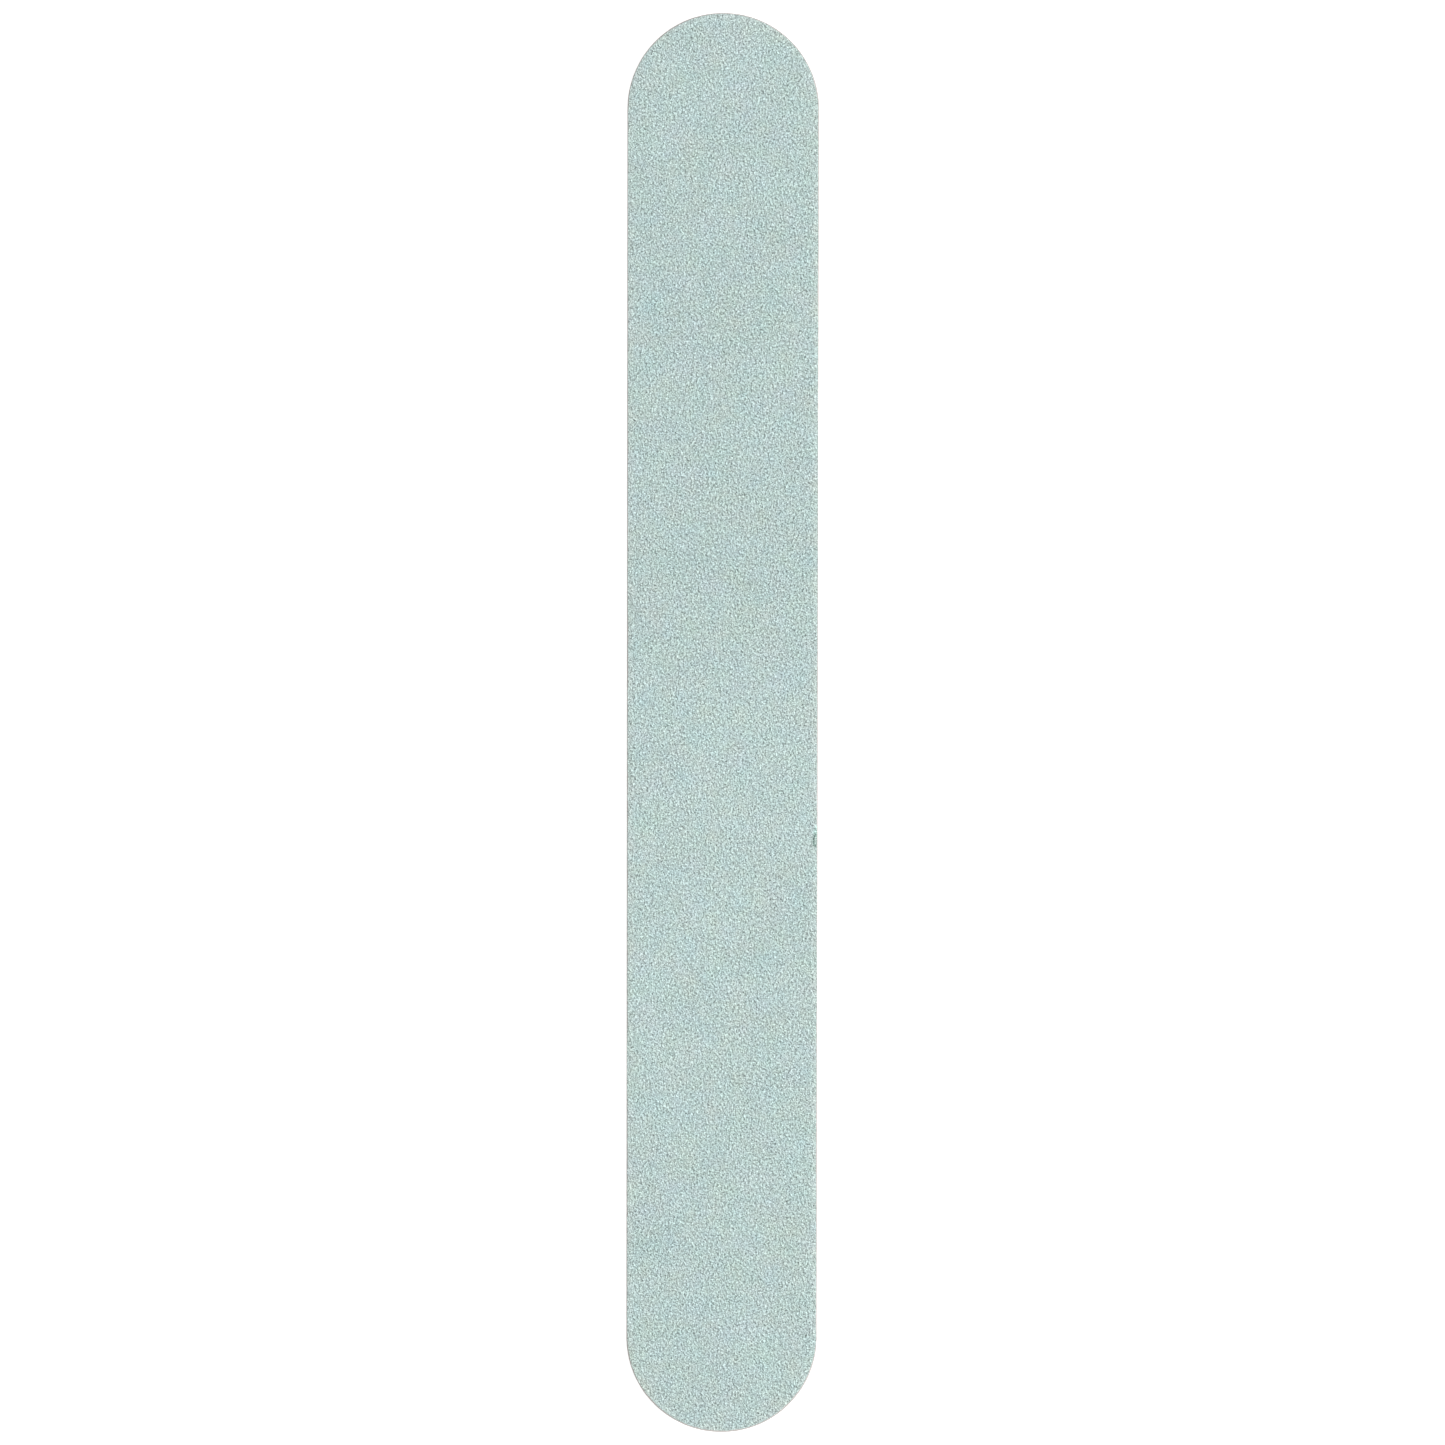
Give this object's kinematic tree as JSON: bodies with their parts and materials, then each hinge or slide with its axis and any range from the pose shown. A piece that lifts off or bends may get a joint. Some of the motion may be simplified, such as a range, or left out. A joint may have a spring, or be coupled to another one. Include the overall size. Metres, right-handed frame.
{
  "type": "sanding stick",
  "caption": "Slim round-ended sanding stick: abrasive paper over foam on both faces of a stiff plastic core.",
  "frame": {"origin": "middle of the face it rests on, at the middle of the length and of the width", "axes": "+X across the width, +Y along the length, +Z through the thickness, out of the front face"},
  "size_m": [0.0202, 0.15, 0.004],
  "materials": {
    "abrasive": "fine pale sage-green abrasive grains set in a matt binder",
    "backing_paper": "warm light-grey backing paper, seen only as a cut edge",
    "adhesive": "pale milky transfer adhesive, seen only as a thin line at the cut edge",
    "foam": "light warm-grey fine-celled foam, matt, with open cells along the cut edge",
    "core": "white polystyrene strip, satin, with faint upright marks from the die"
  },
  "bodies": {
    "root": {"front_grit_coat": "abrasive", "front_backing_paper": "backing_paper", "front_paper_adhesive": "adhesive", "front_foam_pad": "foam", "front_core_adhesive": "adhesive", "core_strip": "core", "back_core_adhesive": "adhesive", "back_foam_pad": "foam", "back_paper_adhesive": "adhesive", "back_backing_paper": "backing_paper", "back_grit_coat": "abrasive"}
  },
  "joints": []
}
